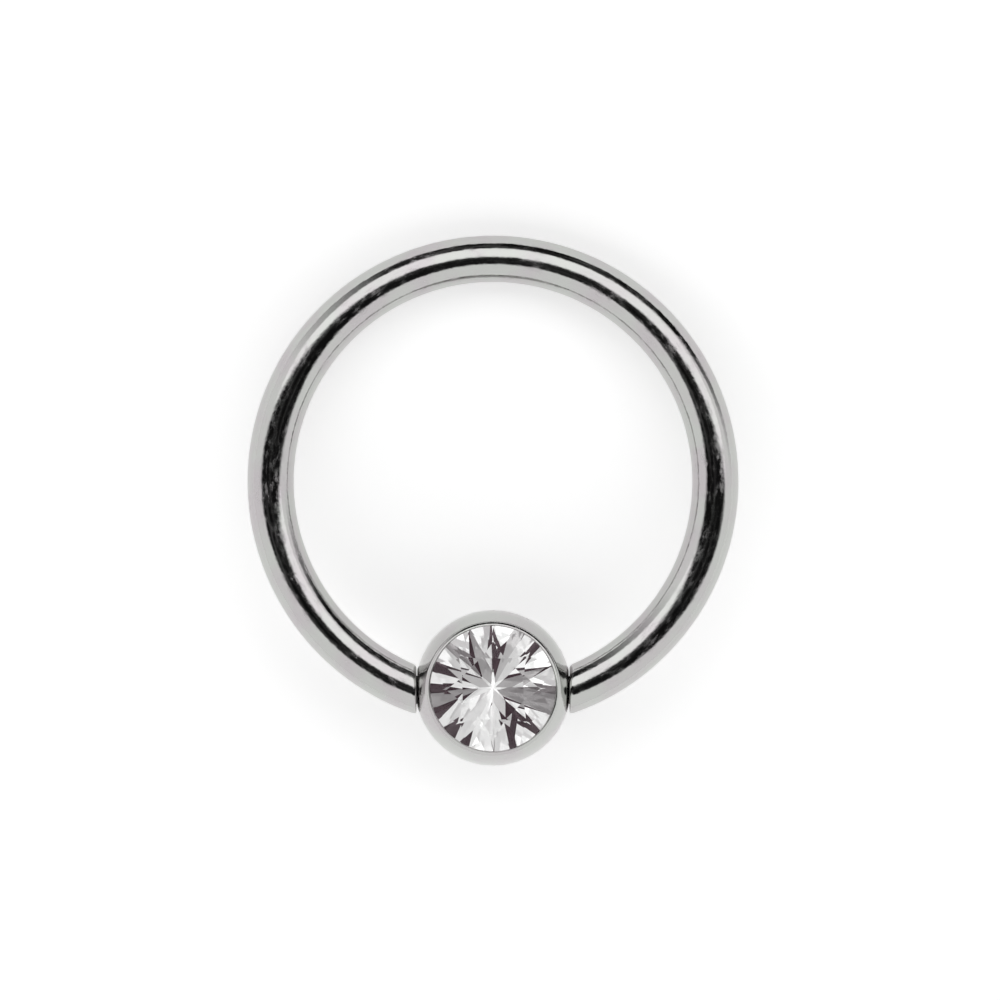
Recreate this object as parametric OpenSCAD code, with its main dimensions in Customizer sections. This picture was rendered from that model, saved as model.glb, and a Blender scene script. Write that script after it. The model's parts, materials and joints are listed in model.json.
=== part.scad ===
// Captive bead ring: an open wire ring whose two ends press into dimples in a round bead,
// and the bead holds a cut stone that faces along the ring's axis.
// The ring lies on a flat surface, on its bead and on the far side of its wire.
// Millimetres, +Z up, X along the line between the wire ends, the bead towards -Y.
// The origin is on that surface, under the middle of the ring's outline.

/* [Ring] */
// Inside diameter of the ring
inner_d = 10.2; // [8:0.1:14]
// Diameter of the wire
wire_d = 1.2; // [1:0.05:1.8]
// Diameter of the flat nose at the tip of each wire end
nose_d = 0.5; // [0.3:0.02:0.7]
// How far outside the bead the wire's centre line crosses the bead's turning axis
cross_out = 0.1; // [0:0.02:0.2]

/* [Bead] */
// Diameter of the round bead
bead_d = 4; // [3.8:0.1:5]
// Diameter of the mouth of the dimple that each wire end presses into
dimple_d = 0.92; // [0.8:0.02:1]
// Slope of the dimple and of the wire end in it, measured from the bead's turning axis
tip_angle = 50; // [40:1:55]
// Width of the lip round the stone at the bead's flat front
lip_w = 0.045; // [0.03:0.005:0.1]

/* [Stone] */
// Diameter of the stone across its girdle
stone_d = 3.2; // [2.4:0.05:3.4]
// Diameter of the circle through the corners of the table
table_d = 1.68; // [1.2:0.02:2]
// Diameter of the circle through the tips of the star facets
star_d = 2.4; // [2.26:0.02:2.8]
// Diameter of the circle through the upper tips of the lower girdle facets
lower_d = 0.72; // [0.3:0.02:1.2]
// Height of the crown, from the girdle to the table
crown_h = 0.5; // [0.35:0.01:0.7]
// Height of the girdle at the corners of the facets
girdle_h = 0.09; // [0.07:0.01:0.16]
// Depth of the pavilion, from the girdle to the culet
pavilion_h = 1.34; // [1.1:0.02:1.5]
// How far the girdle lies below the bead's flat front
recess = 0.04; // [0:0.01:0.1]
// Number of main facets round the stone
mains = 8; // [8:1:12]

/* [Clearance] */
// Running gap between each wire end and its dimple
turn_gap = 0.02; // [0.01:0.005:0.05]
// Gap between the stone and the cup that holds it
stone_gap = 0.015; // [0.01:0.005:0.03]

/* [Hidden] */
$fn = 96;

wire_r = wire_d / 2;
ring_r = (inner_d + wire_d) / 2;
nose_r = nose_d / 2;
bead_r = bead_d / 2;
dimple_r = dimple_d / 2;
stone_r = stone_d / 2;

// The bead's turning axis is a chord of the wire's centre line
bead_y = -sqrt(pow(ring_r, 2) - pow(bead_r + cross_out, 2));

// Each wire end is ground to a cone about that axis, from its flat nose out past the wire.
// The dimple is the same cone moved inwards until the two slopes are turn_gap apart.
tip_shift = turn_gap / sin(tip_angle);
mouth_x = sqrt(pow(bead_r, 2) - pow(dimple_r, 2));
nose_x = mouth_x + tip_shift - (dimple_r - nose_r) / tan(tip_angle);
cone_len = 2 * wire_d;
cone_r = nose_r + cone_len * tan(tip_angle);
// Before grinding the wire runs on past the nose, as far as this angle from -Y
arc_end = asin((nose_x - wire_r) / ring_r);

// Heights in the bead, from its turning axis towards the viewer of the stone
cup_r = stone_r + stone_gap;
front_z = sqrt(pow(bead_r, 2) - pow(cup_r + lip_w, 2));
girdle_top = front_z - recess;
girdle_low = girdle_top - girdle_h;
table_z = girdle_top + crown_h;
culet_z = girdle_low - pavilion_h;

// The facets round the stone
step_a = 360 / mains;
half_a = step_a / 2;
table_r = table_d / 2;
star_r = star_d / 2;
lower_r = lower_d / 2;
// A main facet is flat, so its side corners lie on the line from its top to its foot
star_z = table_z - crown_h * (star_r * cos(half_a) - table_r) / (stone_r - table_r);
lower_z = culet_z + pavilion_h * lower_r * cos(half_a) / stone_r;

// The cup's cone touches the corners of the pavilion, and lies stone_gap away from them
cup_slope = (girdle_low - lower_z) / (stone_r - lower_r);
cup_drop = stone_gap * sqrt(1 + cup_slope * cup_slope);
cup_tip_z = girdle_low - stone_r * cup_slope - cup_drop;
cup_ledge_z = cup_tip_z + cup_r * cup_slope;

// At rest the bead and the far side of the wire touch the surface
tilt = asin((bead_r - wire_r) / (ring_r - bead_y));
lift = wire_r + ring_r * sin(tilt);
far_y = ring_r * cos(tilt) + wire_r;
near_y = bead_y * cos(tilt) - bead_r;

// A point at radius r, angle a and height z
function polar(r, a, z) = [r * cos(a), r * sin(a), z];

// The height at which the plane through a, b and c passes over the point (x, y)
function plane_z(a, b, c, x, y) =
    let (n = cross(b - a, c - a))
    a.z - (n.x * (x - a.x) + n.y * (y - a.y)) / n.z;

// A corner of the girdle midway along one girdle facet, on that facet's own plane
function mid_corner(a, b, c, angle) =
    let (p = polar(stone_r, angle, 0))
    [p.x, p.y, plane_z(a, b, c, p.x, p.y)];

// Lays the ring, drawn flat about its own centre, down as it rests
module at_rest() {
    translate([0, -(far_y + near_y) / 2, lift])
        rotate([-tilt, 0, 0])
            children();
}

// Moves what is drawn about the bead's centre to its place in the ring
module in_bead() {
    translate([0, bead_y, 0])
        children();
}

// The cone of one wire end about the turning axis, shift nearer to the bead's middle
module tip_cone(side, shift) {
    translate([side * (nose_x - shift), 0, 0])
        rotate([0, side * 90, 0])
            cylinder(h = cone_len, r1 = nose_r, r2 = cone_r);
}

// What grinding takes off one end of the wire: all that lies outside its cone
module ground_off(side) {
    difference() {
        rotate([0, side * 90, 0])
            cylinder(h = nose_x + cone_len, r = cone_r);
        tip_cone(side, 0);
    }
}

module ring() {
    color([0.74, 0.74, 0.75])
        at_rest()
            difference() {
                rotate([0, 0, arc_end - 90])
                    rotate_extrude(angle = 360 - 2 * arc_end)
                        translate([ring_r, 0])
                            circle(r = wire_r);
                for (side = [-1, 1])
                    in_bead()
                        ground_off(side);
            }
}

// The space for the stone: a cone for the pavilion, and from the girdle up a bore
module cup() {
    rotate_extrude()
        polygon([[0, cup_tip_z], [cup_r, cup_ledge_z], [cup_r, bead_d], [0, bead_d]]);
}

module bead() {
    color([0.68, 0.67, 0.68])
        at_rest()
            in_bead()
                difference() {
                    sphere(r = bead_r);
                    translate([-bead_d, -bead_d, front_z])
                        cube([2 * bead_d, 2 * bead_d, bead_d]);
                    for (side = [-1, 1])
                        tip_cone(side, tip_shift);
                    cup();
                }
}

// A round brilliant: table, stars, main facets and girdle facets, and a pavilion to a culet.
// Main facets are centred half a step away from X, as are the corners of the table.
module stone() {
    main_a = [for (i = [0 : mains - 1]) half_a + i * step_a];
    table = [for (a = main_a) polar(table_r, a, table_z)];
    stars = [for (a = main_a) polar(star_r, a + half_a, star_z)];
    lowers = [for (a = main_a) polar(lower_r, a + half_a, lower_z)];
    // Four girdle corners to each main facet: its foot, a mid corner, the gap, a mid corner
    upper = [for (a = main_a)
        let (foot = polar(stone_r, a, girdle_top),
             gap = polar(stone_r, a + half_a, girdle_top),
             next = polar(stone_r, a + step_a, girdle_top),
             tip = polar(star_r, a + half_a, star_z))
        each [foot, mid_corner(foot, gap, tip, a + half_a / 2),
              gap, mid_corner(gap, next, tip, a + 1.5 * half_a)]];
    under = [for (a = main_a)
        let (foot = polar(stone_r, a, girdle_low),
             gap = polar(stone_r, a + half_a, girdle_low),
             next = polar(stone_r, a + step_a, girdle_low),
             tip = polar(lower_r, a + half_a, lower_z))
        each [foot, mid_corner(foot, gap, tip, a + half_a / 2),
              gap, mid_corner(gap, next, tip, a + 1.5 * half_a)]];
    star_at = mains;
    lower_at = 2 * mains;
    upper_at = 3 * mains;
    under_at = upper_at + 4 * mains;
    culet_at = under_at + 4 * mains;
    faces = [
        [for (i = [mains - 1 : -1 : 0]) i],
        for (i = [0 : mains - 1])
            let (n = (i + 1) % mains, p = (i + mains - 1) % mains,
                 u = upper_at + 4 * i, un = upper_at + 4 * n,
                 d = under_at + 4 * i, dn = under_at + 4 * n)
            each [
                [i, n, star_at + i],
                [i, star_at + i, u, star_at + p],
                [star_at + i, u + 2, u + 1, u],
                [star_at + i, un, u + 3, u + 2],
                [culet_at, lower_at + p, d, lower_at + i],
                [lower_at + i, d, d + 1, d + 2],
                [lower_at + i, d + 2, d + 3, dn]],
        for (i = [0 : 4 * mains - 1])
            let (n = (i + 1) % (4 * mains))
            [upper_at + i, upper_at + n, under_at + n, under_at + i]];
    color([0.88, 0.9, 0.93])
        at_rest()
            in_bead()
                polyhedron(
                    points = concat(table, stars, lowers, upper, under, [[0, 0, culet_z]]),
                    faces = faces);
}

ring();
bead();
stone();
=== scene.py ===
import json
import math

import bmesh
import bpy
import numpy as np
from bpy.props import FloatProperty, FloatVectorProperty, IntProperty, PointerProperty
from mathutils import Matrix, Vector


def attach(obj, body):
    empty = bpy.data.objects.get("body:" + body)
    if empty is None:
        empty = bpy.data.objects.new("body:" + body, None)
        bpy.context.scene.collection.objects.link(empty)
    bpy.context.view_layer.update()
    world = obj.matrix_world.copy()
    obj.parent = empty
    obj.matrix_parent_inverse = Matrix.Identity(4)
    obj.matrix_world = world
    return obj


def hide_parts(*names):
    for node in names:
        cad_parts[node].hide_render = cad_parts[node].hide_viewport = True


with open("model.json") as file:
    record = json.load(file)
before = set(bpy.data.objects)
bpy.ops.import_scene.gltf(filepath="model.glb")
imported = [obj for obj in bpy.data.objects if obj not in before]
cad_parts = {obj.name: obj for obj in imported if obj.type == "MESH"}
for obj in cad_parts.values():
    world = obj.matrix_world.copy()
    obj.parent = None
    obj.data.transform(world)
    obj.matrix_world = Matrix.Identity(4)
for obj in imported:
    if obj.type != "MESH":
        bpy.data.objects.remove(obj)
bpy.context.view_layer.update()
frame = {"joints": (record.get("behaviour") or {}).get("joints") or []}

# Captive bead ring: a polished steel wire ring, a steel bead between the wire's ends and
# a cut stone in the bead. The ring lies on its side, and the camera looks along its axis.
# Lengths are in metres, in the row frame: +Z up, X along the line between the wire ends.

bl_info = {
    "name": "Captive bead ring",
    "version": (1, 0, 0),
    "blender": (4, 5, 0),
    "location": "View3D > Sidebar > Bead ring",
    "description": "Builds the wire ring, the bead and the cut stone on the packed frame",
    "category": "Add Mesh",
}

BEAD_CENTRE = Vector(frame["joints"][0]["pos_m"])
MM = 0.001
# In metres: half the floor, what merges, and how far a place may be from the frame's
FLOOR_HALF = 0.6
MERGE = 1e-7
SAME_PLACE = 1e-6
# Added to a share that is divided by
NEVER_ZERO = 1e-5
DEGREES = 180 / math.pi
# Sections of the wire on its nose, its flat end and its rounded edge, and how evenly
# the others lie along the ring: 1 is even, and less is closer together near the ends
NOSE_SECTIONS, FLAT_SECTIONS, EDGE_SECTIONS = 12, 4, 12
EVENNESS = 0.35
# Rows of the bead's profile in its cup, bore, lip and shoulder
CUP_ROWS, BORE_ROWS, LIP_ROWS, SHOULDER_ROWS = 12, 5, 9, 16
# The bead's mesh is fine as far as this share of a dimple's diameter from its middle
FINE_REACH = 0.62
FINE_STEP, COARSE_STEP = math.radians(0.45), math.radians(2)
# A dimple reaches no point farther from the turning axis than this many radii of its
# mouth, and none nearer to the bead's middle along it than this share of the bead's radius
DIMPLE_OUT, DIMPLE_IN = 1.5, 0.8
# A stone has seven planes to each main facet, and the ribs and wedges stray less
PLANES_PER_MAIN = 7
STEADY = 0.3
# In millimetres: the spare depth of the rough stone, and what its cuts merge
SPARE_DEPTH, CUT_MERGE, TINY_EDGE = 0.1, 1e-5, 1e-4
# How bright the foil is behind each kind of facet, from and to, with painted light in it
# Past the foil's own silver: painted highlight on the ribs, painted shade on the darker
# facets and wedges
SILVER_AND_PAINTED_SHADE = {"crown": (1, 1), "rib": (0.8, 1), "main": (0.3, 1), "lower": (0.6, 1),
             "wedge": (0.1, 0.4), "painted_grey": (0.06, 0.3), "painted_dark": (0, 0.02)}
# In millimetres: the bead's grain, the pits, the clouds in the gloss, the wisps in the
# polish of the stone and the tooth of the floor
GRAIN, PIT, CLOUD, WISP, TOOTH = 0.12, 0.09, 1.1, 0.5, 0.8
# The bead's grain changes only this share as fast along Z, which draws it out. On the
# wire this many millimetres along it count as one radius across, with so many marks to it
GRAIN_ALONG_Z = 0.4
DRAWN_OUT, MARKS = 1.8, 6.5
# At which value of its noise a patch begins, and at which it is full
SMEAR_AT, SCUFF_AT, WISP_AT, HAZE_AT = (0.35, 0.7), (0.4, 0.72), (0.5, 0.8), (0.45, 0.75)
# The share of the scuffs that stays outside the smeared patches
SCUFF_LEAST = 0.35
WISP_TONE = (0.95, 0.95, 0.95)
CLEAR_ROUGH, WISP_ROUGH = 0.002, 0.01
BOARD_ROUGH, TOOTH_ROUGH = 0.75, 0.15
HAZE_SCALE = 4.0
# The studio's light, in degrees: right and up from the camera's axis, near and far as the
# angle from it, and a turn as the direction round it, from the right over the top.
# The softbox: its reach left, right and outwards, and its foot, which falls to the right
BOX_LEFT, BOX_RIGHT, BOX_FAR, BOX_FOOT, BOX_FALL = 42, 56, 52.5, 9, 0.14
# The camera's dark gap: its middle, its half width and height, and its fall to the right
GAP_RIGHT, GAP_DOWN, GAP_HALF_W, GAP_HALF_H, GAP_FALL = 3, 5, 50, 22.5, 0.13
# The flag: where it starts and ends, the turn up to which it leans outwards and how much,
# and the turn by which it has thinned out, over how wide a stretch
FLAG_NEAR, FLAG_FAR, LEAN_END, LEAN, THIN_END, THIN_OVER = 51.5, 104, 60, 0.4, 150, 34
# How far outside and inside its line each edge fades, and the gap's as shares of its size
SIDE_FADE, WIDE_FADE, FOOT_FADE, NEAR_FADE = (-4, 4), (-4, 6), (-3, 5), (-3, 4)
TURN_FADE, GAP_FADE = (-2, 36), (-0.12, 0.16)


# The sizes and finishes that a user would change

def length(name, description, default_mm, low_mm=0.0, high_mm=50.0):
    return FloatProperty(
        name=name, description=description, default=default_mm * MM,
        min=low_mm * MM, max=high_mm * MM, unit="LENGTH", precision=5)


def share(name, description, default, high=1.0):
    return FloatProperty(
        name=name, description=description, default=default, min=0.0, max=high,
        subtype="FACTOR")


def colour(name, description, default):
    return FloatVectorProperty(
        name=name, description=description, default=default, min=0.0, max=1.0,
        size=3, subtype="COLOR")


class WireSizes(bpy.types.PropertyGroup):
    inner_d: length("Inside diameter", "Across the hole of the ring", 10.2)
    wire_d: length("Wire diameter", "Thickness of the wire", 1.2)
    cross_out: length(
        "End overlap", "How far outside the bead the wire crosses its axis", 0.1)
    face_x: length("End place", "From the bead's middle to each flat wire end", 1.96)
    edge_r: length("End rounding depth", "How far the end's edge rounds inwards", 0.06)
    edge_l: length("End rounding length", "How far the rounding runs along the wire", 0.12)
    nose_d: length("Nose diameter", "Base of the round nose in the bead's dimple", 0.68)
    nose_l: length("Nose length", "From the flat wire end to the nose's tip", 0.14)
    square_l: length(
        "End squaring", "Length over which sections turn to face the bead", 2.5)
    rings: IntProperty(
        name="Rings", description="Sections along the wire", default=601, min=101)
    sides: IntProperty(
        name="Sides", description="Points round each section", default=112, min=8)


class BeadSizes(bpy.types.PropertyGroup):
    bead_d: length("Bead diameter", "Across the round bead", 4.0)
    lip_w: length("Lip width", "Rim of steel round the stone", 0.045)
    lip_round: length("Lip rounding", "Radius on the inner edge of the lip", 0.014)
    lip_slope: FloatProperty(
        name="Lip slope", description="Slope of the steel where it reaches the lip",
        default=math.radians(20), subtype="ANGLE")
    shoulder: length("Shoulder", "Radius of the polish from the ball to the lip", 0.2)
    dimple_d: length("Dimple diameter", "Mouth of the dimple for a wire end", 0.92)
    dimple_x: length("Dimple floor", "From the bead's middle to the dimple's floor", 1.77)
    dimple_slope: FloatProperty(
        name="Dimple slope", description="Angle of its wall from the turning axis",
        default=math.radians(50), subtype="ANGLE")
    dimple_round: length("Dimple rounding", "How softly the dimple's edges turn", 0.03)


class StoneSizes(bpy.types.PropertyGroup):
    stone_d: length("Stone diameter", "Across the girdle", 3.2)
    table_d: length("Table diameter", "Circle through the table's corners", 1.68)
    star_d: length("Star diameter", "Circle through the tips of the star facets", 2.4)
    lower_d: length("Lower diameter", "Circle through the lower facets' tips", 0.72)
    crown_h: length("Crown height", "From the girdle to the table", 0.5)
    girdle_h: length("Girdle height", "At the corners of the facets", 0.09)
    pavilion_h: length("Pavilion depth", "From the girdle to the culet", 1.34)
    recess: length("Recess", "How far the girdle lies below the lip", 0.04)
    gap: length("Gap", "Between the stone and its cup", 0.015)
    rib: length("Rib", "Depth of the worn rib between two main facets", 0.006)
    wedge: length("Wedge", "Depth at the girdle of the wedges beside the mains", 0.006)
    gap_wedge: length("Gap wedge", "Depth at the girdle of the other wedges", 0.012)
    # Shares of the wedges and lower facets whose foil gets painted shade in place of dark
    # reflections
    painted_dark_share: share("Painted dark share", "Share of the wedges whose silvering is dull", 0.85)
    painted_grey_share: share("Painted grey share", "Share of the lower facets whose silvering is grey", 0.08)
    stray: FloatProperty(
        name="Stray", description="How far a facet's angle strays from the pattern",
        default=math.radians(0.5), subtype="ANGLE")
    cutting: IntProperty(
        name="Cutting", description="Number that picks how the facets stray", default=28)
    mains: IntProperty(
        name="Main facets", description="Main facets round the stone", default=8, min=8)
    sides: IntProperty(
        name="Girdle sides", description="Flat sides round the girdle", default=96, min=32)


class SteelFinish(bpy.types.PropertyGroup):
    tone: colour("Steel", "Colour of the polished steel", (0.505, 0.515, 0.495))
    warm: colour(
        "Warm patches", "Colour of the steel's warmer patches", (0.5, 0.475, 0.485))
    roughness: share("Roughness", "Roughness of the polish", 0.06)
    scuffs: share("Scuffs", "Roughness of the scuffed streaks in the polish", 0.26)
    drawn: share("Drawing marks", "Depth of the fine marks along the wire", 0.3)
    pits: share("Pits", "Depth of the small unevenness of the polish", 0.25)
    relief: length("Relief", "Height of the deepest marks and pits", 0.006)


class StoneFinish(bpy.types.PropertyGroup):
    glass: colour("Stone", "Tint of the clear stone", (0.99, 0.99, 0.99))
    foil: colour("Foil", "Colour of the mirror behind the pavilion", (0.97, 0.975, 0.97))
    # Painted shade: the dark plum foil colour on facets that stand in for dark reflections
    painted_dark: colour("Painted dark foil", "Colour where the silvering is dull", (0.05, 0.03, 0.038))
    foil_blur: share("Foil roughness", "Roughness of the mirror", 0.03)
    foil_mirror: share("Foil mirror", "Share of mirror in the matt silver foil", 0.6)
    foil_sheen: share("Foil sheen", "Strength of the reflections on the dull silvering", 0.1)
    # Painted glow: the foil gives off light of its own colour, though it is no lamp
    foil_painted_glow: share("Foil painted glow", "Light that the foil gathers and gives back", 0.46)
    bend: FloatProperty(
        name="Refraction", description="Refractive index of the stone", default=1.65,
        min=1.0, max=2.6)
    sheen: share("Sheen", "Strength of the reflections on the crown", 0.15)


class StudioLook(bpy.types.PropertyGroup):
    floor: colour("Floor", "Colour of the floor", (0.93, 0.93, 0.93))
    floor_glow: share("Floor glow", "Light that comes through the floor", 0.34)
    tent: share("Tent", "Brightness of the white tent", 1.04, 4.0)
    softbox: share("Softbox", "Brightness of the soft light", 1.45, 8.0)
    dark: share("Dark", "Brightness of the camera's dark surround", 0.008)
    haze: share("Haze", "Brightness of the paler patches in the dark", 0.1)
    view_w: FloatProperty(
        name="View width", description="Width of the view at the ring", default=0.025636,
        unit="LENGTH", precision=5)
    camera_far: length("Camera distance", "From the ring to the camera", 300, 1, 5000)
    lens_w: length("Sensor width", "Width of the camera's sensor", 36)
    aim_x: length("Aim right", "View's middle, right of the ring's middle", 0.18, -5)
    aim_y: length("Aim up", "View's middle, above the ring's middle", -0.482, -5)


# Node trees

class Value:
    """A node's output in a Python expression. Each operator adds a Math node."""

    def __init__(self, graph, socket):
        self.graph = graph
        self.socket = socket

    def math(self, operation, *others):
        return self.graph.math(operation, self, *others)

    def __add__(self, other):
        return self.math("ADD", other)

    def __sub__(self, other):
        return self.math("SUBTRACT", other)

    def __mul__(self, other):
        return self.math("MULTIPLY", other)

    def __truediv__(self, other):
        return self.math("DIVIDE", other)

    def __neg__(self):
        return self * -1

    def __abs__(self):
        return self.math("ABSOLUTE")

    __radd__ = __add__
    __rmul__ = __mul__

    def __rsub__(self, other):
        return self.graph.math("SUBTRACT", other, self)

    def least(self, other):
        return self.math("MINIMUM", other)

    def most(self, other):
        return self.math("MAXIMUM", other)

    def rise(self, start, end):
        """0 before start and 1 after end, with a smooth step between them."""
        return self.graph.node(
            "ShaderNodeMapRange", {"interpolation_type": "SMOOTHSTEP"},
            {"Value": self, "From Min": start, "From Max": end})

    def out(self, name):
        """Another output of the same node."""
        return Value(self.graph, self.socket.node.outputs[name])


class Graph:
    """Adds nodes to the tree of a material, a world or Geometry Nodes."""

    def __init__(self, tree):
        self.tree = tree
        tree.nodes.clear()

    def node(self, kind, settings=None, sockets=None, out=0):
        """A node of this type with its settings, then its sockets' values or links."""
        made = self.tree.nodes.new(kind)
        for name, setting in (settings or {}).items():
            setattr(made, name, setting)
        for name, given in (sockets or {}).items():
            if isinstance(given, Value):
                self.tree.links.new(given.socket, made.inputs[name])
            else:
                made.inputs[name].default_value = given
        return Value(self, made.outputs[out]) if len(made.outputs) else None

    def math(self, operation, *values):
        return self.node(
            "ShaderNodeMath", {"operation": operation}, dict(enumerate(values)))

    def vector(self, operation, *values, out=0):
        return self.node(
            "ShaderNodeVectorMath", {"operation": operation}, dict(enumerate(values)),
            out=out)

    def dot(self, a, b):
        return self.vector("DOT_PRODUCT", a, b, out="Value")

    def scaled(self, vector, by):
        return self.vector("MULTIPLY", vector, by)

    def noise(self, where, scale, detail=2.0, roughness=0.5):
        return self.node(
            "ShaderNodeTexNoise", {"noise_dimensions": "3D"},
            {"Vector": where, "Scale": scale, "Detail": detail, "Roughness": roughness})

    def blend(self, share_of_b, a, b):
        """A colour that goes from a to b."""
        made = self.tree.nodes.new("ShaderNodeMix")
        made.data_type = "RGBA"
        for name, given in (("Factor_Float", share_of_b), ("A_Color", a), ("B_Color", b)):
            socket = next(s for s in made.inputs if s.identifier == name)
            if isinstance(given, Value):
                self.tree.links.new(given.socket, socket)
            elif name == "Factor_Float":
                socket.default_value = given
            else:
                socket.default_value = (*given, 1.0)
        return Value(self, next(s for s in made.outputs if s.identifier == "Result_Color"))

    def bump(self, height, distance):
        return self.node(
            "ShaderNodeBump",
            sockets={"Height": height, "Distance": distance, "Strength": 1.0})


# Places

class Layout:
    """Where the pieces lie, worked out from the sizes as the solids are."""

    def __init__(self, scene):
        wire, bead = scene.bead_ring_wire, scene.bead_ring_bead
        stone = scene.bead_ring_stone
        self.wire_r = wire.wire_d / 2
        self.ring_r = (wire.inner_d + wire.wire_d) / 2
        self.bead_r = bead.bead_d / 2
        self.bead_y = -math.sqrt(self.ring_r**2 - (self.bead_r + wire.cross_out)**2)
        self.tilt = math.asin((self.bead_r - self.wire_r) / (self.ring_r - self.bead_y))
        lift = self.wire_r + self.ring_r * math.sin(self.tilt)
        far_y = self.ring_r * math.cos(self.tilt) + self.wire_r
        near_y = self.bead_y * math.cos(self.tilt) - self.bead_r
        self.rest = (Matrix.Translation((0, -(far_y + near_y) / 2, lift))
                     @ Matrix.Rotation(-self.tilt, 4, "X"))
        self.in_bead = self.rest @ Matrix.Translation((0, self.bead_y, 0))
        if (self.in_bead.translation - BEAD_CENTRE).length > SAME_PLACE:
            raise ValueError("the bead's place isn't the one in the frame")
        # Heights in the bead, from its middle towards the viewer of the stone
        self.cup_r = stone.stone_d / 2 + stone.gap
        self.rim_r = self.cup_r + bead.lip_w
        self.front_z = math.sqrt(self.bead_r**2 - self.rim_r**2)
        self.girdle_top = self.front_z - stone.recess
        self.girdle_low = self.girdle_top - stone.girdle_h
        self.table_z = self.girdle_top + stone.crown_h
        self.culet_z = self.girdle_low - stone.pavilion_h

    def axis(self):
        """The ring's axis, from the floor up towards the camera."""
        return (self.rest.to_3x3() @ Vector((0, 0, 1))).normalized()

    def upward(self):
        """The way in the ring's plane from the bead to the far side."""
        return (self.rest.to_3x3() @ Vector((0, 1, 0))).normalized()


def add_piece(name, mesh, body, node):
    """Shows a finished mesh as a piece that rides on a body and stands for a node."""
    piece = bpy.data.objects.new(name, mesh)
    bpy.context.scene.collection.objects.link(piece)
    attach(piece, body)
    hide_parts(node)
    return piece


def new_material(name):
    material = bpy.data.materials.new(name)
    material.use_nodes = True
    return material, Graph(material.node_tree)


# Finishes

def polished_steel(name, finish, along_wire):
    """Mirror-polished steel: faint drawing marks, small pits and uneven gloss."""
    material, g = new_material(name)
    place = g.node("ShaderNodeTexCoord", out="Object")
    if along_wire:
        along = g.node(
            "ShaderNodeAttribute", {"attribute_name": "along"}, out="Fac")
        around = g.node(
            "ShaderNodeAttribute", {"attribute_name": "around"}, out="Vector")
        turned = g.node("ShaderNodeSeparateXYZ", sockets={"Vector": around})
        streaks_at = g.node(
            "ShaderNodeCombineXYZ",
            sockets={"X": turned, "Y": turned.out("Y"), "Z": along / (DRAWN_OUT * MM)})
        marks = g.noise(streaks_at, MARKS, 3.0, 0.55)
    else:
        drawn = g.scaled(place, (1, 1, GRAIN_ALONG_Z))
        marks = g.noise(drawn, 1 / (GRAIN * MM), 3.0, 0.6)
    pits = g.noise(place, 1 / (PIT * MM), 3.0, 0.55)
    clouds = g.noise(place, 1 / (CLOUD * MM), 2.0, 0.5)
    height = marks * finish.drawn + pits * finish.pits
    smear = clouds.rise(*SMEAR_AT)
    scuffs = marks.rise(*SCUFF_AT) * (SCUFF_LEAST + (1 - SCUFF_LEAST) * smear)
    shader = g.node("ShaderNodeBsdfPrincipled", sockets={
        "Base Color": g.blend(smear, tuple(finish.tone), tuple(finish.warm)),
        "Metallic": 1.0,
        "Roughness": finish.roughness + finish.scuffs * scuffs,
        "Normal": g.bump(height, finish.relief),
    })
    g.node("ShaderNodeOutputMaterial", sockets={"Surface": shader})
    return material


def clear_glass(finish):
    """The crown and the girdle: clear, with hardly seen marks of the polish."""
    material, g = new_material("clear stone")
    place = g.node("ShaderNodeTexCoord", out="Object")
    wisps = g.noise(place, 1 / (WISP * MM), 3.0, 0.6).rise(*WISP_AT)
    shader = g.node("ShaderNodeBsdfPrincipled", sockets={
        "Base Color": g.blend(wisps, tuple(finish.glass), WISP_TONE),
        "Roughness": CLEAR_ROUGH + WISP_ROUGH * wisps,
        "IOR": finish.bend,
        "Specular Tint": (finish.sheen, finish.sheen, finish.sheen, 1.0),
        "Transmission Weight": 1.0,
    })
    g.node("ShaderNodeOutputMaterial", sockets={"Surface": shader})
    return material


def mirror_foil(finish):
    """The pavilion: a mirror behind the stone, its colour set facet by facet with painted
    shade and painted highlights, and with a painted glow.
    """
    material, g = new_material("foil")
    silver_and_shade = g.node("ShaderNodeAttribute", {"attribute_name": "silver_and_shade"}, out="Fac")
    # The foil's silver, with painted shade and painted highlights from facet to facet
    tone = g.blend(silver_and_shade, tuple(finish.painted_dark), tuple(finish.foil))
    shader = g.node("ShaderNodeBsdfPrincipled", sockets={
        "Base Color": tone,
        "Metallic": finish.foil_mirror,
        "Roughness": finish.foil_blur,
        "Specular IOR Level": finish.foil_sheen,
        # Painted glow: the foil emits its own colour, so the stone shines though the foil is
        # no lamp
        "Emission Color": tone,
        "Emission Strength": finish.foil_painted_glow,
    })
    g.node("ShaderNodeOutputMaterial", sockets={"Surface": shader})
    return material


# Pieces

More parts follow.
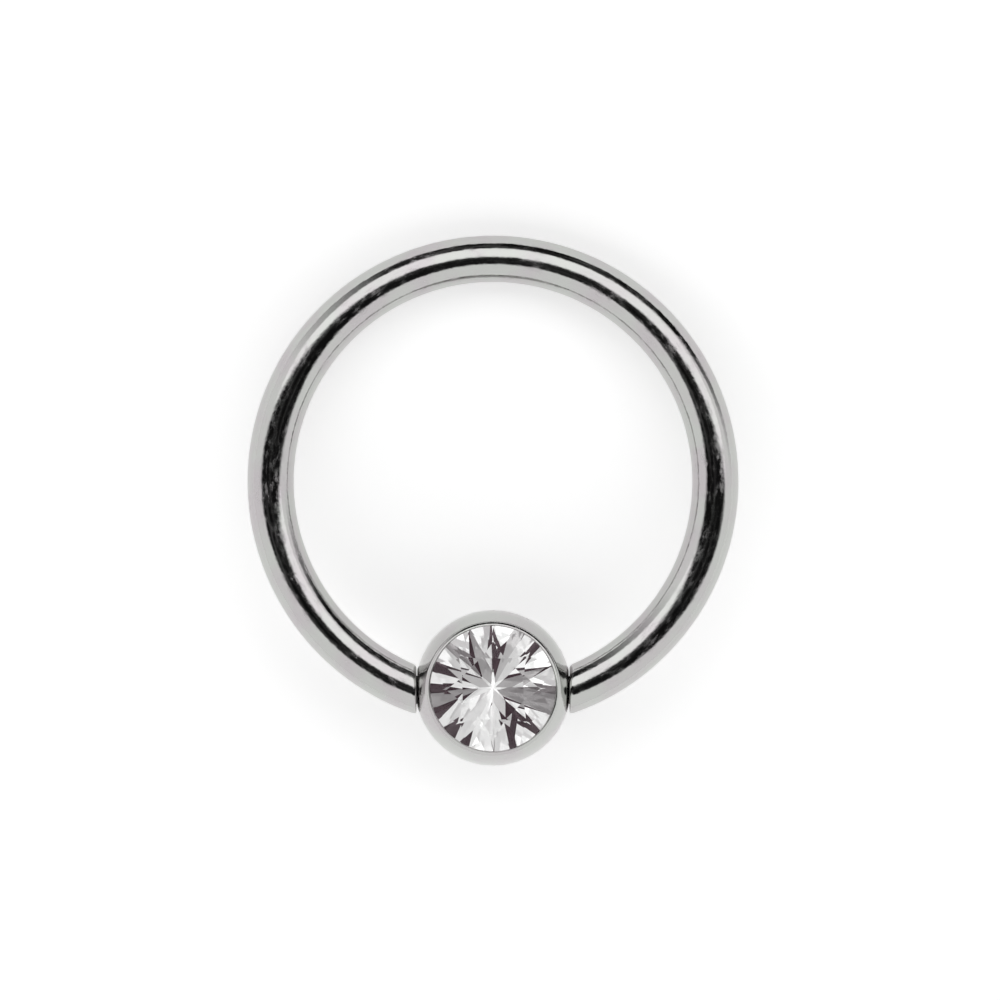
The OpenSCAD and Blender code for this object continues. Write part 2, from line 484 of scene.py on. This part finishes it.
def wire_tree():
    """Geometry Nodes for the wire, as a grid that is wrapped round the ring's path.

    The far side of the ring is at +Y. From each tip the sections go up a round nose,
    across the flat end, round its edge and then along the ring. The wire's flat ends
    face along X, so sections near them are turned from the wire's own direction.
    """
    tree = bpy.data.node_groups.new("wire ring", "GeometryNodeTree")
    inputs = {}
    for name, kind in (
            ("Ring radius", "NodeSocketFloat"), ("Wire radius", "NodeSocketFloat"),
            ("End place", "NodeSocketFloat"), ("Rounding depth", "NodeSocketFloat"),
            ("Rounding length", "NodeSocketFloat"), ("Nose radius", "NodeSocketFloat"),
            ("Nose length", "NodeSocketFloat"), ("End squaring", "NodeSocketFloat"),
            ("Rings", "NodeSocketInt"), ("Sides", "NodeSocketInt"),
            ("Material", "NodeSocketMaterial")):
        made = tree.interface.new_socket(name, in_out="INPUT", socket_type=kind)
        inputs[name] = made.identifier
    tree.interface.new_socket("Mesh", in_out="OUTPUT", socket_type="NodeSocketGeometry")
    g = Graph(tree)
    given = g.node("NodeGroupInput")
    radius, wire_r = given.out("Ring radius"), given.out("Wire radius")
    face_x = given.out("End place")
    edge_r, edge_l = given.out("Rounding depth"), given.out("Rounding length")
    nose_r, nose_l = given.out("Nose radius"), given.out("Nose length")
    square_l, rings = given.out("End squaring"), given.out("Rings")

    grid = g.node("GeometryNodeMeshGrid", sockets={
        "Size X": 2.0, "Size Y": 1.0, "Vertices X": rings,
        "Vertices Y": given.out("Sides") + 1})
    spot = g.node("ShaderNodeSeparateXYZ", sockets={
        "Vector": g.node("GeometryNodeInputPosition")})
    along, turn = spot, spot.out("Y") * (2 * math.pi)

    # How many sections lie between this one and the nearest tip, and each stage's share
    from_tip = (1 - abs(along)) * (rings - 1) * 0.5
    nose_at, flat_at, edge_at = NOSE_SECTIONS, FLAT_SECTIONS, EDGE_SECTIONS
    nose = (from_tip / nose_at).least(1) * (math.pi / 2)
    flat = ((from_tip - nose_at) / flat_at).most(0).least(1)
    edge = ((from_tip - nose_at - flat_at) / edge_at).most(0).least(1) * (math.pi / 2)
    used = nose_at + flat_at + edge_at
    run = ((from_tip - used) / ((rings - 1) * 0.5 - used)).most(0)

    # Radius of the section, and its distance behind the flat end along the wire
    section_r = (nose_r * nose.math("SINE") + (wire_r - edge_r - nose_r) * flat
                 + edge_r * edge.math("SINE"))
    end_angle = (face_x / radius).math("ARCSINE")
    whole = radius * (math.pi - end_angle) - edge_l
    spread = EVENNESS * run + (1 - EVENNESS) * run * run
    behind = edge_l * (1 - edge.math("COSINE")) + whole * spread
    outward_r = radius + section_r * turn.math("COSINE")
    squaring = 1 - (behind / square_l).rise(0, 1)
    squared = (face_x / outward_r).math("ARCSINE") - end_angle
    angle = end_angle + behind / radius + squared * squaring
    side = along.math("SIGN")
    reach = outward_r * angle.math("SINE") - nose_l * nose.math("COSINE")
    place = g.node("ShaderNodeCombineXYZ", sockets={
        "X": side * reach, "Y": -outward_r * angle.math("COSINE"),
        "Z": section_r * turn.math("SINE")})

    # The middle section is shared by both halves, where the side is 0
    wire = g.node("GeometryNodeStoreNamedAttribute", {"data_type": "FLOAT"}, {
        "Geometry": grid, "Name": "along", "Value": side * (whole + edge_l - behind)})
    wire = g.node("GeometryNodeStoreNamedAttribute", {"data_type": "FLOAT_VECTOR"}, {
        "Geometry": wire, "Name": "around", "Value": g.node(
            "ShaderNodeCombineXYZ",
            sockets={"X": turn.math("COSINE"), "Y": turn.math("SINE")})})
    wire = g.node("GeometryNodeSetPosition", sockets={"Geometry": wire, "Position": place})
    wire = g.node("GeometryNodeMergeByDistance", sockets={
        "Geometry": wire, "Distance": MERGE})
    wire = g.node("GeometryNodeSetShadeSmooth", sockets={"Geometry": wire})
    wire = g.node("GeometryNodeRealizeInstances", sockets={"Geometry": wire})
    wire = g.node("GeometryNodeSetMaterial", sockets={
        "Geometry": wire, "Material": given.out("Material")})
    g.node("NodeGroupOutput", sockets={"Mesh": wire})
    return tree, inputs


def tree_mesh(name, tree, values):
    """The plain mesh that a Geometry Nodes tree makes from these input values."""
    holder = bpy.data.objects.new(name, bpy.data.meshes.new(name))
    bpy.context.scene.collection.objects.link(holder)
    modifier = holder.modifiers.new(name, "NODES")
    modifier.node_group = tree
    for identifier, value in values.items():
        modifier[identifier] = value
    depsgraph = bpy.context.evaluated_depsgraph_get()
    mesh = bpy.data.meshes.new_from_object(
        holder.evaluated_get(depsgraph), preserve_all_data_layers=True,
        depsgraph=depsgraph)
    holder.modifiers.remove(modifier)
    bpy.data.objects.remove(holder)
    mesh.name = name
    return mesh


def spaced(start, end, fine_from, fine_to, fine_step, coarse_step):
    """Angles from start to end, closer together between fine_from and fine_to."""
    stops = [start, max(start, fine_from), min(end, fine_to), end]
    steps = [coarse_step, fine_step, coarse_step]
    angles = [np.array([start])]
    for a, b, step in zip(stops, stops[1:], steps):
        count = max(1, math.ceil((b - a) / step))
        angles.append(np.linspace(a, b, count + 1)[1:])
    return np.concatenate(angles)


def arc_points(centre, radius, start, end, count):
    """Points of an arc as (r, z), with angles from +Z towards +r."""
    angles = np.linspace(start, end, count)
    return [(centre[0] + radius * math.sin(a), centre[1] + radius * math.cos(a))
            for a in angles]


def dimple_reach(layout, bead):
    """The angle from a dimple's middle as far as which the bead's mesh is fine."""
    return math.asin(FINE_REACH * bead.dimple_d / layout.bead_r)


def bead_profile(layout, bead, stone):
    """Half of the bead's section as (r, z): the cup, the lip and the ball to its foot."""
    slope = (layout.girdle_low - layout.culet_z) / (stone.stone_d / 2)
    drop = stone.gap * math.sqrt(1 + slope**2)
    tip = layout.girdle_low - stone.stone_d / 2 * slope - drop
    points = [(layout.cup_r * t, tip + layout.cup_r * slope * t)
              for t in np.linspace(0, 1, CUP_ROWS)]
    # A rounded shoulder touches the ball and runs in to the lip's slope, and from there
    # a fine rounding turns down into the bore
    soft, end, shoulder = bead.lip_round, bead.lip_slope, bead.shoulder
    lip_r = layout.cup_r + soft * (1 + math.sin(end))
    inner = layout.bead_r - shoulder
    turn = math.asin((lip_r - shoulder * math.sin(end)) / inner)
    centre = (inner * math.sin(turn), inner * math.cos(turn))
    bore_z = centre[1] + (shoulder - soft) * math.cos(end)
    bore = np.linspace(points[-1][1], bore_z, BORE_ROWS)
    points += [(layout.cup_r, z) for z in bore[1:]]
    points += arc_points(
        (layout.cup_r + soft, bore_z), soft, -math.pi / 2, end, LIP_ROWS)[1:]
    points += arc_points(centre, shoulder, end, turn, SHOULDER_ROWS)[1:]
    reach = dimple_reach(layout, bead)
    angles = spaced(turn, math.pi, math.pi / 2 - reach, math.pi / 2 + reach,
                    FINE_STEP, COARSE_STEP)
    points += [(layout.bead_r * math.sin(a), layout.bead_r * math.cos(a))
               for a in angles[1:-1]]
    points.append((0.0, -layout.bead_r))
    return points


def press_dimples(co, layout, bead):
    """Presses a cone with a flat floor into the ball at each end of the X axis."""
    mouth_r = bead.dimple_d / 2
    mouth_x = math.sqrt(layout.bead_r**2 - mouth_r**2)
    out = np.hypot(co[:, 1], co[:, 2])
    wall = mouth_x - (mouth_r - out) / math.tan(bead.dimple_slope)
    soft = bead.dimple_round
    x = np.abs(co[:, 0])
    near = (out < DIMPLE_OUT * mouth_r) & (x > DIMPLE_IN * layout.bead_r)

    def rounded(a, b, sign):
        """The smaller (sign -1) or larger (sign 1) of a and b, rounded where they meet."""
        apart = np.maximum(soft - np.abs(a - b), 0) / soft
        chosen = np.minimum(a, b) if sign < 0 else np.maximum(a, b)
        return chosen + sign * apart**2 * soft / 4

    floor = rounded(wall, np.full_like(wall, bead.dimple_x), 1)
    pressed = rounded(x, floor, -1)
    co[near, 0] = (np.sign(co[:, 0]) * pressed)[near]
    return co


def bead_mesh(layout, bead, stone):
    """The bead as a mesh that is closest together round its dimples."""
    profile = bead_profile(layout, bead, stone)
    reach = dimple_reach(layout, bead)
    half = spaced(-math.pi / 2, math.pi / 2, -reach, reach,
                  FINE_STEP, COARSE_STEP)
    turns = np.concatenate([half[:-1], half[:-1] + math.pi])
    poles = (profile[0], profile[-1])
    rows = np.array(profile[1:-1])
    across = np.stack([np.cos(turns), np.sin(turns)], 1)
    body = np.concatenate([
        rows[:, None, 0:1] * across[None],
        np.broadcast_to(rows[:, None, 1:2], (len(rows), len(turns), 1))], 2)
    co = np.concatenate([body.reshape(-1, 3), [[0, 0, z] for _, z in poles]])
    co = press_dimples(co, layout, bead)
    n, m = len(rows), len(turns)
    first, last = n * m, n * m + 1
    faces = []
    for j in range(m):
        k = (j + 1) % m
        faces.append((first, j, k))
        faces.append((last, (n - 1) * m + k, (n - 1) * m + j))
        for i in range(n - 1):
            faces.append((i * m + j, (i + 1) * m + j, (i + 1) * m + k, i * m + k))
    mesh = bpy.data.meshes.new("steel_bead")
    mesh.from_pydata(co.tolist(), [], faces)
    return outward(mesh)


def outward(mesh, smooth=True):
    """Turns a closed mesh's faces outwards, and shades it smooth or flat."""
    shape = bmesh.new()
    shape.from_mesh(mesh)
    bmesh.ops.recalc_face_normals(shape, faces=shape.faces)
    for face in shape.faces:
        face.smooth = smooth
    shape.to_mesh(mesh)
    shape.free()
    return mesh


def polar(r, a, z):
    return np.array((r * math.cos(a), r * math.sin(a), z))


def stone_planes(layout, stone):
    """The planes of a round brilliant, as (point on it, outward normal, kind), in metres.

    The table is the top of the rough stone.
    """
    n = stone.mains
    radius, table_r = stone.stone_d / 2, stone.table_d / 2
    star_r, lower_r = stone.star_d / 2, stone.lower_d / 2
    step = 2 * math.pi / n
    narrow = math.cos(step / 2)
    star_drop = (star_r * narrow - table_r) / (radius - table_r)
    star_z = layout.table_z - stone.crown_h * star_drop
    lower_z = layout.culet_z + stone.pavilion_h * lower_r * narrow / radius
    culet = polar(0, 0, layout.culet_z)
    corners = []
    for i in range(n):
        a = step / 2 + i * step
        table, table_next = polar(table_r, a, layout.table_z), polar(
            table_r, a + step, layout.table_z)
        star, star_before = polar(star_r, a + step / 2, star_z), polar(
            star_r, a - step / 2, star_z)
        foot, gap, foot_next = (
            polar(radius, a + k * step / 2, layout.girdle_top) for k in range(3))
        corners += [([table, table_next, star], "crown"),
                    ([table, star, foot, star_before], "crown"),
                    ([star, gap, foot], "crown"), ([star, foot_next, gap], "crown")]
        foot, gap, foot_next = (
            polar(radius, a + k * step / 2, layout.girdle_low) for k in range(3))
        lower, lower_before = polar(lower_r, a + step / 2, lower_z), polar(
            lower_r, a - step / 2, lower_z)
        corners += [([culet, lower_before, foot, lower], "main"),
                    ([lower, foot, gap], "lower"), ([lower, gap, foot_next], "lower")]
    planes = []
    for points, kind in corners:
        normal = np.cross(points[1] - points[0], points[2] - points[0])
        outwards = 1 if (normal[2] > 0) == (kind == "crown") else -1
        normal /= np.linalg.norm(normal) * outwards
        planes.append((sum(points) / len(points), normal, kind))
    for i in range(n):
        # The last three of a main's seven planes are the main itself and two lowers
        main, after, beyond = (PLANES_PER_MAIN * i + k for k in (4, 5, 6))
        main_next = PLANES_PER_MAIN * ((i + 1) % n) + 4
        before = PLANES_PER_MAIN * ((i - 1) % n) + 6
        lower_before, lower = (polar(lower_r, (i + k) * step, lower_z) for k in (0, 1))
        foot, gap = (polar(radius, (i + k) * step, layout.girdle_low) for k in (0.5, 1))
        # A worn rib runs out from the culet, between two mains
        normal = planes[main][1] + planes[main_next][1]
        normal /= np.linalg.norm(normal)
        planes.append(((lower + culet) / 2 - normal * stone.rib, normal, "rib"))
        # A narrow wedge opens towards the girdle wherever a lower meets its neighbours
        for first, second, tip, end, depth in (
                (main, after, lower, foot, stone.wedge),
                (main, before, lower_before, foot, stone.wedge),
                (after, beyond, lower, gap, stone.gap_wedge)):
            normal = planes[first][1] + planes[second][1]
            normal /= np.linalg.norm(normal)
            along = end - normal * depth - tip
            along /= np.linalg.norm(along)
            normal = normal - along * (normal @ along)
            planes.append((tip, normal / np.linalg.norm(normal), "wedge"))
    return planes


def stone_mesh(layout, stone):
    """The stone, cut plane by plane from a round prism, with facets that stray a little."""
    chance = np.random.default_rng(stone.cutting)
    # The cuts are made in millimetres, because the mesh tools merge what is finer
    shape = bmesh.new()
    top, foot = layout.table_z / MM, layout.culet_z / MM - SPARE_DEPTH
    bmesh.ops.create_cone(
        shape, cap_ends=True, segments=stone.sides, radius1=stone.stone_d / 2 / MM,
        radius2=stone.stone_d / 2 / MM, depth=top - foot,
        matrix=Matrix.Translation((0, 0, (top + foot) / 2)))
    # Each foil facet gets a brightness that is painted light: painted shade on dark facets,
    # painted highlight on ribs
    silver_and_shade = shape.faces.layers.float.new("silver_and_shade")
    for point, normal, kind in stone_planes(layout, stone):
        stray = stone.stray * (STEADY if kind in ("rib", "wedge") else 1)
        normal = normal + chance.normal(0, stray, 3)
        luck, spread = chance.random(2)
        cut = bmesh.ops.bisect_plane(
            shape, geom=shape.verts[:] + shape.edges[:] + shape.faces[:],
            dist=CUT_MERGE, plane_co=point / MM,
            plane_no=normal / np.linalg.norm(normal), clear_outer=True)
        edges = [e for e in cut["geom_cut"] if isinstance(e, bmesh.types.BMEdge)]
        if len(edges) > 2:
            for face in bmesh.ops.contextual_create(shape, geom=edges)["faces"]:
                face.material_index = 0 if kind == "crown" else 1
                # Some wedges and lower facets get darker foil as painted shade
                if kind == "wedge" and luck < stone.painted_dark_share:
                    kind = "painted_dark"
                elif kind == "lower" and luck < stone.painted_grey_share:
                    kind = "painted_grey"
                low, high = SILVER_AND_PAINTED_SHADE[kind]
                face[silver_and_shade] = low + (high - low) * spread
    bmesh.ops.dissolve_degenerate(shape, dist=TINY_EDGE, edges=shape.edges[:])
    bmesh.ops.scale(shape, vec=(MM, MM, MM), verts=shape.verts)
    mesh = bpy.data.meshes.new("cut_stone")
    shape.to_mesh(mesh)
    shape.free()
    return outward(mesh, smooth=False)


class MakeWireRing(bpy.types.Operator):
    """Builds the wire ring with its two rounded ends"""
    bl_idname = "bead_ring.make_wire"
    bl_label = "Wire ring"

    def execute(self, context):
        scene = context.scene
        layout, sizes = Layout(scene), scene.bead_ring_wire
        tree, inputs = wire_tree()
        steel = polished_steel("wire steel", scene.bead_ring_steel, along_wire=True)
        mesh = tree_mesh("wire_ring", tree, {
            inputs["Ring radius"]: layout.ring_r,
            inputs["Wire radius"]: layout.wire_r,
            inputs["End place"]: sizes.face_x,
            inputs["Rounding depth"]: sizes.edge_r,
            inputs["Rounding length"]: sizes.edge_l,
            inputs["Nose radius"]: sizes.nose_d / 2,
            inputs["Nose length"]: sizes.nose_l,
            inputs["End squaring"]: sizes.square_l,
            inputs["Rings"]: sizes.rings,
            inputs["Sides"]: sizes.sides,
            inputs["Material"]: steel,
        })
        mesh.transform(layout.rest)
        outward(mesh)
        add_piece("wire_ring", mesh, "ring", "ring")
        return {"FINISHED"}


class MakeBead(bpy.types.Operator):
    """Builds the steel bead with its cup, lip and dimples"""
    bl_idname = "bead_ring.make_bead"
    bl_label = "Steel bead"

    def execute(self, context):
        scene = context.scene
        layout = Layout(scene)
        mesh = bead_mesh(layout, scene.bead_ring_bead, scene.bead_ring_stone)
        mesh.transform(layout.in_bead)
        mesh.materials.append(
            polished_steel("bead steel", scene.bead_ring_steel, along_wire=False))
        add_piece("steel_bead", mesh, "bead", "bead")
        return {"FINISHED"}


class MakeStone(bpy.types.Operator):
    """Builds the cut stone and the foil behind it"""
    bl_idname = "bead_ring.make_stone"
    bl_label = "Cut stone"

    def execute(self, context):
        scene = context.scene
        layout = Layout(scene)
        mesh = stone_mesh(layout, scene.bead_ring_stone)
        mesh.transform(layout.in_bead)
        mesh.materials.append(clear_glass(scene.bead_ring_stone_finish))
        mesh.materials.append(mirror_foil(scene.bead_ring_stone_finish))
        add_piece("cut_stone", mesh, "bead", "stone")
        return {"FINISHED"}


# Stage

def studio_world(look, layout):
    """A white tent with a softbox, a black flag beyond it and a dark gap for the camera.

    Right is +X, and up is away from the bead.
    """
    world = bpy.data.worlds.new("studio")
    world.use_nodes = True
    g = Graph(world.node_tree)
    way = g.node("ShaderNodeTexCoord", out="Generated")
    ahead = g.dot(way, tuple(layout.axis()))
    side = g.dot(way, (1, 0, 0))
    rise = g.dot(way, tuple(layout.upward()))
    off = ahead.least(1).most(-1).math("ARCCOSINE") * DEGREES
    flat = (side * side + rise * rise).math("SQRT") + NEVER_ZERO
    right, up = off * side / flat, off * rise / flat

    foot = BOX_FOOT - BOX_FALL * right
    softbox = ((right + BOX_LEFT).rise(*SIDE_FADE) * (BOX_RIGHT - right).rise(*WIDE_FADE)
               * (up - foot).rise(*FOOT_FADE) * (BOX_FAR - off).rise(*NEAR_FADE))
    gap_x = (right - GAP_RIGHT) / GAP_HALF_W
    gap_y = (up + GAP_FALL * right + GAP_DOWN) / GAP_HALF_H
    reach = (gap_x * gap_x + gap_y * gap_y).math("SQRT")
    gap = (1 - reach).rise(*GAP_FADE)
    # The flag starts farther out on the right, and thins out to the left
    turn = g.math("ARCTAN2", up, right) * DEGREES
    start = FLAG_NEAR + LEAN * (LEAN_END - turn).most(0)
    flag = ((off - start).rise(*NEAR_FADE) * (FLAG_FAR - off).rise(*WIDE_FADE)
            * turn.rise(*TURN_FADE) * ((THIN_END - turn) / THIN_OVER).most(0).least(1))
    shade = look.dark + look.haze * g.noise(way, HAZE_SCALE, 2.0).rise(*HAZE_AT)
    light = look.tent + (shade - look.tent) * gap.most(flag)
    light = light + (look.softbox - light) * softbox
    seen = g.node("ShaderNodeLightPath", out="Is Camera Ray")
    strength = light + (look.tent - light) * seen
    background = g.node("ShaderNodeBackground", sockets={
        "Color": (1, 1, 1, 1), "Strength": strength})
    g.node("ShaderNodeOutputWorld", sockets={"Surface": background})
    return world


def floor_material(look):
    """Matt white board, lit a little from behind, with a hardly seen tooth."""
    material, g = new_material("white board")
    place = g.node("ShaderNodeTexCoord", out="Object")
    tooth = g.noise(place, 1 / (TOOTH * MM), 3.0)
    shader = g.node("ShaderNodeBsdfPrincipled", sockets={
        "Base Color": (*look.floor, 1.0),
        "Roughness": BOARD_ROUGH + TOOTH_ROUGH * tooth,
        "Specular IOR Level": 0.2,
        "Emission Color": (1, 1, 1, 1),
        "Emission Strength": look.floor_glow,
    })
    g.node("ShaderNodeOutputMaterial", sockets={"Surface": shader})
    return material


class MakeStage(bpy.types.Operator):
    """Lays the floor and sets the studio light and the camera"""
    bl_idname = "bead_ring.make_stage"
    bl_label = "Stage"

    def execute(self, context):
        scene = context.scene
        look, layout = scene.bead_ring_studio, Layout(scene)
        half = FLOOR_HALF
        mesh = bpy.data.meshes.new("floor")
        mesh.from_pydata([(-half, -half, 0), (half, -half, 0), (half, half, 0),
                          (-half, half, 0)], [], [(0, 1, 2, 3)])
        mesh.materials.append(floor_material(look))
        floor = bpy.data.objects.new("floor", mesh)
        scene.collection.objects.link(floor)
        scene.world = studio_world(look, layout)
        scene.view_settings.view_transform = "Standard"
        scene.cycles.glossy_bounces = 10
        scene.cycles.diffuse_bounces = 8

        axis, upward = layout.axis(), layout.upward()
        camera = bpy.data.objects.new("camera", bpy.data.cameras.new("camera"))
        camera.data.sensor_width = look.lens_w / MM
        camera.data.lens = look.lens_w / MM * look.camera_far / look.view_w
        camera.data.clip_start = 0.01
        aim = (layout.rest.translation + Vector((look.aim_x, 0, 0))
               + upward * look.aim_y)
        turned = Matrix((Vector((1, 0, 0)), upward, axis)).transposed().to_4x4()
        camera.matrix_world = Matrix.Translation(aim + axis * look.camera_far) @ turned
        scene.collection.objects.link(camera)
        scene.camera = camera
        return {"FINISHED"}


class BeadRingPanel(bpy.types.Panel):
    """Sizes, finishes and build steps of the captive bead ring"""
    bl_idname = "VIEW3D_PT_bead_ring"
    bl_label = "Captive bead ring"
    bl_space_type = "VIEW_3D"
    bl_region_type = "UI"
    bl_category = "Bead ring"

    def draw(self, context):
        for operator, groups in STEPS:
            self.layout.operator(operator.bl_idname)
            for group in groups:
                values = getattr(context.scene, group)
                for name in values.__annotations__:
                    self.layout.prop(values, name)


GROUPS = {
    "bead_ring_wire": WireSizes,
    "bead_ring_bead": BeadSizes,
    "bead_ring_stone": StoneSizes,
    "bead_ring_steel": SteelFinish,
    "bead_ring_stone_finish": StoneFinish,
    "bead_ring_studio": StudioLook,
}
STEPS = (
    (MakeStage, ("bead_ring_studio",)),
    (MakeWireRing, ("bead_ring_wire", "bead_ring_steel")),
    (MakeBead, ("bead_ring_bead",)),
    (MakeStone, ("bead_ring_stone", "bead_ring_stone_finish")),
)


def register():
    for name, group in GROUPS.items():
        bpy.utils.register_class(group)
        setattr(bpy.types.Scene, name, PointerProperty(type=group))
    for operator, _ in STEPS:
        bpy.utils.register_class(operator)
    bpy.utils.register_class(BeadRingPanel)


def unregister():
    bpy.utils.unregister_class(BeadRingPanel)
    for operator, _ in reversed(STEPS):
        bpy.utils.unregister_class(operator)
    for name, group in reversed(GROUPS.items()):
        delattr(bpy.types.Scene, name)
        bpy.utils.unregister_class(group)


def main():
    register()
    bpy.ops.bead_ring.make_stage()
    bpy.ops.bead_ring.make_wire()
    bpy.ops.bead_ring.make_bead()
    bpy.ops.bead_ring.make_stone()
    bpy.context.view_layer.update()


if __name__ == "__main__":
    main()
